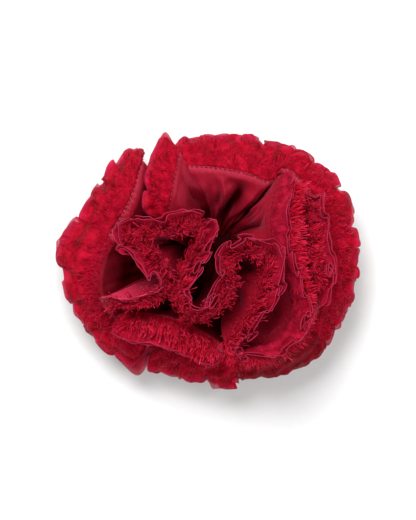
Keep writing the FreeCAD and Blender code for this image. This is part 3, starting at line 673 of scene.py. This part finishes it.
def satin_petal(name, run, span, seed):
    """The satin of one petal, with the painted shade at each point, darkest deep in its gathers."""
    grid, u, painted_shade = satin_grid(name, run, span, seed)
    satin_piece("petal_satin_" + name, grid, u, SATIN, "painted_light_satin" if name in PAINTED_LIGHT_SATINS else "satin",
                "satin_" + name, {"painted_shade": np.tile(painted_shade.ravel(), 2)})


# ---- organza frills ----
class Ruffle:
    """How one group of frills waves: sizes in millimetres."""

    def __init__(self, depth, wavelength, loop, curl, scallop, lobe, dents, trim):
        self.depth, self.wavelength, self.loop, self.curl = depth, wavelength, loop, curl
        self.scallop, self.lobe, self.dents, self.trim = scallop, lobe, dents, trim


RING = Ruffle(depth=1.6, wavelength=14.0, loop=1.3, curl=0.6, scallop=2.6, lobe=12.5, dents=0.7, trim=0.6)
SMOOTH = Ruffle(depth=1.0, wavelength=25.0, loop=0.2, curl=0.6, scallop=0.9, lobe=27.0, dents=0.3, trim=1.0)
HEART = Ruffle(depth=2.2, wavelength=12.5, loop=2.6, curl=-0.9, scallop=1.0, lobe=17.0, dents=0.3, trim=0.4)
PLAIN = Ruffle(depth=0.8, wavelength=17.0, loop=0.7, curl=-0.5, scallop=0.6, lobe=19.0, dents=0.3, trim=0.2)
CREST = Ruffle(depth=1.1, wavelength=14.0, loop=1.0, curl=0.4, scallop=1.2, lobe=15.0, dents=0.3, trim=3.6)
RUFFLES = {"heart_band": PLAIN, "pocket_rim": PLAIN, "front": PLAIN, "right_crest": CREST,
           "ring_lower_right": SMOOTH}
FRILL_BEHIND = {"pocket_rim"}  # petals whose organza is on the same side as their fringe
SHADED_PETALS = ("ring_lower_right",)  # petals with plain organza in a darker copy, painted shade for a side turned from the light, and no fringe on top
CORNERS = {"ring_bottom": 1.6}  # a frill's free end that is less round than the rest
FRILL_ROWS, FRILL_STEP = 20, 0.36
LAYER_REST, LAYER_GAP = 0.35, 0.95  # how far the lower layer lies off the satin, and the upper off the lower
LAYER_SHORT = 0.7  # how much shorter the upper layer of the outer ring is
FLUTTER_DEPTH, FLUTTER_LENGTH = 0.55, 7.5  # small waves at the free edge
DENTS_APART, FINE_DENTS_APART, FINE_DENT_DEPTH = 5.2, 1.9, 0.09


def frill_grid(name, run, span, layer, seed):
    """One layer of a frill: flat at the seam and waving more and more towards its free edge."""
    kind = RUFFLES.get(name, RING if name.startswith("ring") else HEART)
    columns = max(30, int((span[1] - span[0]) / FRILL_STEP))
    u = np.linspace(span[0], span[1], columns)
    seam, edge, along, _ = run.at(u)
    band = unit(edge - seam)
    left = unit(np.cross(band, along))
    taper = end_taper(u, run, span, CORNERS.get(name, FRILL_CORNER))
    width = (np.linalg.norm(edge - seam, axis=1) - kind.trim) * (0.4 + 0.6 * taper)
    turn = np.pi * (u / kind.lobe + 0.30 * wander(u, 37, seed + 5) + 0.06 * layer)
    width = width + kind.scallop * (np.abs(np.sin(turn)) ** 0.55 - 0.8) - LAYER_SHORT * layer * (kind is RING)
    width = width + 0.25 * wander(u, 7.0, seed + layer)
    phase = 2 * np.pi * u / kind.wavelength + 1.3 * wander(u, 33, seed) + 0.75 * layer
    swell = 0.72 + 0.45 * wander(u, 27, seed + 9)
    offset = LAYER_REST + LAYER_GAP * layer
    rows = []
    for v in np.linspace(0, 1, FRILL_ROWS):
        grow = v ** 1.3
        wave = kind.depth * swell * np.sin(phase + 0.6 * v)
        flutter = FLUTTER_DEPTH * max(0.0, 2.5 * v - 1.5) * wander(u, FLUTTER_LENGTH, seed + 20 + layer)
        lean = offset * min(1, 0.4 + 2 * v) + (0.5 * layer + wave + kind.curl * v) * grow + flutter
        dents = kind.dents * min(1, 0.2 + 1.6 * v) * rumple(u, width * v, DENTS_APART, seed + 30 + layer)
        fine = FINE_DENT_DEPTH * rumple(u, width * v, FINE_DENTS_APART, seed + 40 + layer)
        lean = lean + dents + fine
        slip = -kind.loop * (swell * np.sin(2 * phase + v) * grow + np.sin(2 * turn) * grow ** 2)
        reach = SEAM_TO_FRILL + (width - SEAM_TO_FRILL) * v
        rows.append(seam + band * reach[:, None] + left * lean[:, None] + along * slip[:, None])
    grid = np.array(rows)
    if name in FRILL_BEHIND:
        grid = grid - left * (1.3 + 1.6 * layer)
    return grid, u


def frill(name, run, span, seed):
    """Two layers of organza, each with a rolled free edge."""
    for layer in (0, 1):
        grid, u = frill_grid(name, run, span, layer, seed)
        verts, quads = closed_sheet(grid, ORGANZA)
        uv = sheet_uvs(grid, u)
        hem_verts, hem_quads = hem_tube(grid[-1])
        all_verts = np.concatenate([verts, hem_verts])
        all_quads = np.concatenate([quads, hem_quads + len(verts)])
        uvs = np.concatenate([uv, uv, np.zeros((len(hem_verts), 2))])
        paleness = 0.15 if name.startswith("ring") else 0.6
        hem_tone = np.clip(paleness + 0.35 * wander(u, 9, seed + layer), 0, 1)
        tone = np.concatenate([np.full(len(verts), 0.5), np.repeat(hem_tone, HEM_SIDES)])
        rim = np.repeat(np.clip(np.linspace(-4.5, 1, FRILL_ROWS), 0, 1), len(u))
        rims = np.concatenate([rim, rim, np.ones(len(hem_verts))])
        slots = np.concatenate([np.zeros(len(quads)), np.ones(len(hem_quads))])
        mesh = make_mesh(f"frill_{name}_{layer}", all_verts, all_quads, uvs,
                         {"tone": tone, "rim": rims}, slots)
        cloths = ("backing", "ring_organza") if name.startswith("ring") else ("organza", "organza")
        mesh.materials.append(FINISHES["shaded_organza" if name in SHADED_PETALS else cloths[layer]])
        mesh.materials.append(FINISHES["hem"])
        piece = new_object(f"petal_frill_{name}_{layer + 1}", mesh)
        on_flower(piece, "frill_" + name)


# ---- frayed fringe ----
def fringe_tree():
    """Threads that grow from a narrow root strip, in the direction its attributes give."""
    group, tree, given, out = group_tree(
        "frayed_fringe", "GeometryNodeTree",
        [("Geometry", "Geometry"), ("Density", "Float", 1e7),
         ("Length", "Float", 0.008), ("Thickness", "Float", 0.00012),
         ("Splay", "Float", 0.5), ("Spread", "Float", 0.2),
         ("Tufts", "Float", 420.0), ("Clumping", "Float", 1.6),
         ("Curl", "Float", 0.003), ("Seed", "Int", 1),
         ("Material", "Material")],
        [("Geometry", "Geometry")])

    def chance(low, high, offset, vector=False):
        seed = tree.math("ADD", given["Seed"], float(offset))
        if vector:
            return tree.add("FunctionNodeRandomValue", {0: (low,) * 3, 1: (high,) * 3, "Seed": seed},
                            data_type="FLOAT_VECTOR").outputs[0]
        return tree.add("FunctionNodeRandomValue", {2: low, 3: high, "Seed": seed}).outputs[1]

    points = tree.add("GeometryNodeDistributePointsOnFaces",
                      {"Mesh": given["Geometry"], "Density": given["Density"], "Seed": given["Seed"]})
    straight = tree.add("GeometryNodeCurvePrimitiveLine", {"End": (0, 0, 1)})
    steps = tree.add("GeometryNodeResampleCurve", {"Curve": straight.outputs[0], "Count": 5})
    share = tree.add("GeometryNodeSplineParameter").outputs["Factor"]
    kept = tree.store(steps.outputs[0], "reach", share)
    taper = tree.math("SUBTRACT", 1.0, tree.math("MULTIPLY", share, 0.55))
    tapered = tree.add("GeometryNodeSetCurveRadius", {"Curve": kept, "Radius": taper})
    section = tree.add("GeometryNodeCurvePrimitiveCircle", {"Resolution": 3, "Radius": 1.0})
    radius = tree.math("DIVIDE", given["Thickness"], given["Length"])
    size = tree.add("ShaderNodeCombineXYZ", {0: radius, 1: radius, 2: 1.0}).outputs[0]
    thin = tree.add("GeometryNodeTransform", {"Geometry": section.outputs[0], "Scale": size})
    thread = tree.add("GeometryNodeCurveToMesh", {"Curve": tapered.outputs[0], "Fill Caps": True,
                                                  "Profile Curve": thin.outputs[0]})
    place = tree.add("GeometryNodeInputPosition").outputs[0]
    tuft = tree.noise(place, given["Tufts"], 1.0)
    splay = tree.math("MULTIPLY", given["Splay"], chance(0.1, 1.9, 3))
    outward = tree.scaled(tree.named("out", "FLOAT_VECTOR"), splay)
    direction = tree.vector("ADD", tree.named("band", "FLOAT_VECTOR"), outward)
    lean = tree.scaled(tree.vector("SUBTRACT", tuft["Color"], (0.5, 0.5, 0.5)), given["Clumping"])
    direction = tree.vector("ADD", direction, lean)
    jitter = tree.scaled(chance(-1.0, 1.0, 4, vector=True), given["Spread"])
    direction = tree.vector("ADD", direction, jitter)
    turn = tree.add("FunctionNodeAlignRotationToVector", {"Vector": direction}, axis="Z")
    length = tree.math("MULTIPLY", given["Length"], chance(0.45, 1.2, 5))
    placed = tree.add("GeometryNodeInstanceOnPoints",
                      {"Points": points.outputs["Points"], "Instance": thread.outputs[0],
                       "Rotation": turn.outputs[0], "Scale": length})
    clump_tone = tree.add("ShaderNodeMapRange", {"Value": tuft["Fac"], "From Min": 0.35, "From Max": 0.65})
    tone = tree.math("MULTIPLY", tree.math("ADD", clump_tone.outputs[0], chance(0.0, 1.0, 6)), 0.5)
    toned = tree.store(placed.outputs[0], "tone", tone, "INSTANCE")
    real = tree.add("GeometryNodeRealizeInstances", {"Geometry": toned})
    reach = tree.named("reach")
    root_tone = tree.math("MULTIPLY", tree.named("tone"), 0.62)
    paler = tree.math("ADD", root_tone, tree.math("MULTIPLY", reach, 0.45))
    real = tree.store(real.outputs[0], "tone", paler)
    shifts = []
    for scale, weight in ((170.0, 1.0), (650.0, 0.55)):
        noise = tree.noise(place, scale, 0.0)["Color"]
        shifts.append(tree.scaled(tree.vector("SUBTRACT", noise, (0.5, 0.5, 0.5)), weight))
    amount = tree.math("MULTIPLY", tree.math("POWER", reach, 1.6), given["Curl"])
    pulled = tree.scaled(tree.vector("ADD", *shifts), amount)
    bent = tree.add("GeometryNodeSetPosition", {"Geometry": real, "Offset": pulled})
    dyed = tree.add("GeometryNodeSetMaterial", {"Geometry": bent.outputs[0], "Material": given["Material"]})
    tree.link(dyed.outputs[0], out["Geometry"])
    return group


def grown(name, base, tree, values):
    """What a geometry tree makes of a base mesh, as a plain mesh object."""
    carrier = new_object(name + "_base", base)
    modifier = carrier.modifiers.new("grow", "NODES")
    modifier.node_group = tree
    for item in tree.interface.items_tree:
        if item.in_out == "INPUT" and item.name in values:
            modifier[item.identifier] = values[item.name]
    graph = bpy.context.evaluated_depsgraph_get()
    mesh = bpy.data.meshes.new_from_object(carrier.evaluated_get(graph))
    carrier.modifiers.remove(modifier)
    bpy.data.objects.remove(carrier)
    mesh.name = name
    return new_object(name, mesh)


# How far past its seam a petal's fringe starts, where bare cloth shows first or threads hide the seam.
FRINGE_START = {"arch_leg": 2.0, "right_crest": 3.0, "ring_left": -3.0, "ring_lower_left": -2.0,
                "front": -2.6}
FRINGE_INSET = 5.5  # how far short of a petal's free end its threads stop


def root_strip(members, side, near, far):
    """A strip beside each seam for threads to grow from, with their directions."""
    verts, quads, bands, outs = [], [], [], []
    count = 0
    for name, run, span in members:
        low = span[0] + (FRINGE_INSET if span[0] < 0 else 0)
        high = span[1] - (FRINGE_INSET if span[1] > run.length else 0)
        u = np.linspace(low, high, max(12, int((high - low) / 1.2)))
        seam, edge, along, _ = run.at(u)
        band = unit(edge - seam)
        away = unit(np.cross(band, along)) * side
        start = FRINGE_START.get(name, near)
        for depth in (start, start - near + far):
            verts.append(seam + band * depth + away * (0.2 + 0.12 * abs(depth)))
            bands.append(band)
            outs.append(away)
        quads.append(grid_quads(2, len(u), count))
        count += 2 * len(u)
    vectors = {"band": np.concatenate(bands), "out": np.concatenate(outs)}
    return make_mesh("root_strip", np.concatenate(verts), np.concatenate(quads), None, vectors)


def fringe(name, tree, members, node, side, near, far, per_mm, finish="frayed_thread", **sizes):
    """Threads beside the seams of some petals, so many to the millimetre, as one piece."""
    length = sum(span[1] - span[0] for _, _, span in members)
    base = root_strip(members, side, near, far)
    area = sum(p.area for p in base.polygons)
    values = {"Density": per_mm * length / area, "Material": FINISHES[finish], **sizes}
    on_flower(grown(name, base, tree, values), node)


# ---- machine stitches ----
def stitch_tree():
    """Short rounded stitches at even steps along lines of points."""
    group, tree, given, out = group_tree(
        "seam_stitches", "GeometryNodeTree",
        [("Geometry", "Geometry"), ("Pitch", "Float", 0.0021),
         ("Fill", "Float", 0.74), ("Radius", "Float", 0.0002),
         ("Seed", "Int", 1), ("Material", "Material")],
        [("Geometry", "Geometry")])
    line = tree.add("GeometryNodeMeshToCurve", {"Mesh": given["Geometry"]})
    even = tree.add("GeometryNodeResampleCurve", {"Curve": line.outputs[0], "Length": given["Pitch"]},
                    mode="LENGTH")
    ball = tree.add("GeometryNodeMeshUVSphere", {"Segments": 6, "Rings": 5, "Radius": 1.0})
    turn = tree.add("FunctionNodeAlignRotationToVector",
                    {"Vector": tree.add("GeometryNodeInputTangent").outputs[0]}, axis="X")
    half = tree.math("MULTIPLY", tree.math("MULTIPLY", given["Pitch"], given["Fill"]), 0.5)
    size = tree.add("ShaderNodeCombineXYZ", {0: half, 1: given["Radius"], 2: given["Radius"]}).outputs[0]
    placed = tree.add("GeometryNodeInstanceOnPoints",
                      {"Points": even.outputs[0], "Instance": ball.outputs[0], "Rotation": turn.outputs[0],
                       "Scale": size})
    tone = tree.add("FunctionNodeRandomValue", {2: 0.0, 3: 1.0, "Seed": given["Seed"]}).outputs[1]
    real = tree.add("GeometryNodeRealizeInstances",
                    {"Geometry": tree.store(placed.outputs[0], "tone", tone, "INSTANCE")})
    smooth = tree.add("GeometryNodeSetShadeSmooth", {"Geometry": real.outputs[0]})
    dyed = tree.add("GeometryNodeSetMaterial", {"Geometry": smooth.outputs[0], "Material": given["Material"]})
    tree.link(dyed.outputs[0], out["Geometry"])
    return group


def seam_lines(members):
    """Line meshes along every seam, on both faces of the satin."""
    verts, edges, count = [], [], 0
    for _, run, span in members:
        u = np.linspace(span[0] + 0.4, span[1] - 0.4, max(10, int(span[1] - span[0])))
        seam, edge, along, _ = run.at(u)
        band = unit(edge - seam)
        left = unit(np.cross(band, along))
        for side in (1, -1):
            verts.append(seam + band * 0.75 + left * side * (SATIN / 2 + 0.09))
            edges += [(count + i, count + i + 1) for i in range(len(u) - 1)]
            count += len(u)
    mesh = bpy.data.meshes.new("seam_lines")
    mesh.from_pydata([Vector(p * MM) for p in np.concatenate(verts)], edges, [])
    return mesh


# ---- the turned end of the lower left petal: its upper and lower outline ----
FLAP_TOP = np.array([(-42, -37, 8), (-32, -35.5, 9.5), (-23.5, -38, 9.5)], float)
FLAP_TIP = np.array([(-43, -45, 2), (-32.5, -53.5, 1), (-25.5, -43, 4)], float)
FLAP_STEPS = 30


# ---- under petals ----
def under_petal(index):
    """A broad plain satin petal that droops from the base's rim to the surface."""
    middle = UNDER_TURN + 2 * math.pi * index / UNDER_PETALS
    angles = middle + UNDER_SPAN * np.linspace(-0.5, 0.5, UNDER_COLUMNS)
    out = np.stack([np.cos(angles), np.sin(angles), np.zeros_like(angles)], axis=1)
    corner = np.sqrt(np.clip(1 - np.abs(np.linspace(-1, 1, UNDER_COLUMNS)) ** 6, 0, 1))
    reach = out * [UNDER_REACH[0] * PLAN, UNDER_REACH[1] * PLAN, 0]
    foot = np.array([BASE[0], BASE[1], 0]) + out * (BASE_RADIUS + 0.2)
    span = (reach - foot) * (0.86 + 0.14 * corner)[:, None]
    places = np.array([0, 0.3, 0.66, 1.0])
    heights = np.array([[BASE[2] - 0.5], [BASE[2] + 1.3], [BASE[2] * 0.72], [0.55]])
    arc = np.arange(UNDER_COLUMNS) * UNDER_STEP
    overlap = np.linspace(-UNDER_TILT, UNDER_TILT, UNDER_COLUMNS)
    rows = []
    for t in np.linspace(0, 1, UNDER_ROWS):
        z = smooth_through(places, heights, np.array([t]))[0, 0] + overlap * min(1, 3 * t)
        wave = (0.35 + 2.4 * t) * wander(arc, 12, 900 + index) * (1 - 0.7 * t ** 5)
        wave = wave + 0.5 * t * rumple(arc, 40 * t, 10, 930 + index)
        pleat = 0.8 * (1 - t) ** 2 * min(1, t * 10) * wander(arc, 4.5, 950 + index)
        lift = np.maximum(z + wave + pleat, 0.3 + 0.25 * (1 - t))
        rows.append(foot + span * t + np.stack([0 * arc, 0 * arc, lift], axis=1))
    satin_piece(f"under_petal_{index + 1}", np.array(rows)[:, ::-1], arc, UNDER_THICKNESS, "shaded_under_satin",
                "under_petals")


def turned_end():
    """The end of the lower left ring petal, folded under itself and hanging in the gap beside it."""
    knots, along = np.array([0, 0.5, 1.0]), np.linspace(0, 1, FLAP_STEPS)
    top, tip = [smooth_through(knots, Run.placed(line), along) for line in (FLAP_TOP, FLAP_TIP)]
    arc = np.linspace(0, 11, FLAP_STEPS)
    rows = []
    for t in np.linspace(0, 1, FLAP_STEPS):
        swell = 1.8 * math.sin(math.pi * t) + 0.5 * rumple(arc, 14 * t, 7, 71)
        rows.append(top + (tip - top) * t + np.stack([0 * arc, 0 * arc, swell], axis=1))
    satin_piece("petal_turned_end", np.array(rows), arc, SATIN, "satin", "satin_ring_lower_left")


# ---- clip ----
def finish_clip():
    """Gives the base's and the clip's pieces their materials, and puts a copy of the spring in a piece of its
    own.
    """
    for node, key in (("petal_base", "shaded_base_cloth"), ("felt_cover", "felt"), ("rim_stitches", "seam_thread"),
                      ("clip_ties", "seam_thread"), ("upper_jaw", "nickel"), ("lower_jaw", "nickel"),
                      ("hinge_pin", "nickel"), ("grip_pad", "silicone")):
        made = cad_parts[node]
        made.data.materials.clear()
        made.data.materials.append(FINISHES[key])
    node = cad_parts["torsion_spring"]
    mesh = node.data.copy()
    mesh.transform(node.matrix_world)
    mesh.materials.clear()
    mesh.materials.append(FINISHES["spring_wire"])
    piece = new_object("spring_coil", mesh)
    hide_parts("torsion_spring")
    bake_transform(piece)


# ---- setting ----
FLOOR_SIZE = 6.0
LIGHTS = (("key", (-0.24, 0.58, 0.95), 0.7, 17.0), ("fill", (0.45, -0.42, 0.95), 0.9, 7.0))
WORLD_STRENGTH = 0.2
CAMERA_HEIGHT, LENS, SENSOR_WIDTH = 1.825, 270.0, 36.0


def setting():
    """Plain pale floor, soft studio light, and a camera that looks down on the flower's face."""
    bpy.ops.mesh.primitive_plane_add(size=FLOOR_SIZE, location=(0, 0, 0))
    floor = bpy.context.object
    floor.name = "floor"
    paper = Finish("floor_paper")
    grain = paper.group(MOTTLE, Vector=paper.place, Slow=8.0, Fast=300.0, Share=0.5)["Fac"]
    paper.set(Base_Color=paper.ramp(grain, (0.2, (0.86, 0.86, 0.86)), (0.8, (0.9, 0.9, 0.9))), Roughness=0.9)
    floor.data.materials.append(paper.material)

    world = bpy.data.worlds.new("studio")
    bpy.context.scene.world = world
    world.use_nodes = True
    background = world.node_tree.nodes["Background"].inputs
    background["Color"].default_value = (1, 1, 1, 1)
    background["Strength"].default_value = WORLD_STRENGTH
    for name, place, size, power in LIGHTS:
        lamp = bpy.data.lights.new(name, "AREA")
        lamp.size, lamp.energy = size, power
        made = new_object(name, lamp)
        made.location = place
        made.rotation_euler = (-Vector(place)).to_track_quat("-Z", "Y").to_euler()

    camera = bpy.data.cameras.new("camera")
    camera.sensor_width = SENSOR_WIDTH
    camera.lens = LENS
    made = new_object("camera", camera)
    made.location = (0.0, 0.0, CAMERA_HEIGHT)
    bpy.context.scene.camera = made
    bpy.context.scene.view_settings.view_transform = "Standard"


# ---- build ----
setting()
members = []
for number, names in enumerate(RUNS):
    run = Run(names)
    for name, span in run.spans.items():
        members.append((name, run, span))
        satin_petal(name, run, span, 100 + number)
        frill(name, run, span, 300 + 10 * number)

FRINGE = fringe_tree()
ring = [m for m in members if m[0].startswith("ring")]
heart = [m for m in members if not m[0].startswith("ring")]
fuzzy = [m for m in ring if m[0] not in SHADED_PETALS]
for part, half in enumerate((fuzzy[:4], fuzzy[4:])):
    fringe(f"fringe_ring_{part + 1}", FRINGE, half, "ring_fringes", 1, 1.0, 8.5, 13, finish="ring_thread",
           Length=0.0044, Splay=0.02, Spread=0.7, Clumping=2.6, Tufts=260.0, Curl=0.0035, Seed=1 + part)
fringe("fringe_ring_under", FRINGE, ring, "ring_fringes", -1, 0.5, 3.0, 9, Length=0.0065, Splay=0.35,
       Spread=0.3, Seed=9)
for part, third in enumerate((heart[:4], heart[4:7], heart[7:10], heart[10:])):
    fringe(f"fringe_heart_{part + 1}", FRINGE, third, "heart_fringes", -1, 0.2, 4.8, 34, Length=0.0092,
           Splay=0.38, Spread=0.2, Clumping=1.8, Tufts=420.0, Curl=0.0045, Seed=3 + part)

stitches = grown("seam_stitches", seam_lines(members), stitch_tree(),
                 {"Pitch": STITCH_PITCH * MM, "Radius": STITCH_RADIUS * MM,
                  "Material": FINISHES["seam_thread"]})
on_flower(stitches, "seam_threads")

for index in range(UNDER_PETALS):
    under_petal(index)
turned_end()
finish_clip()
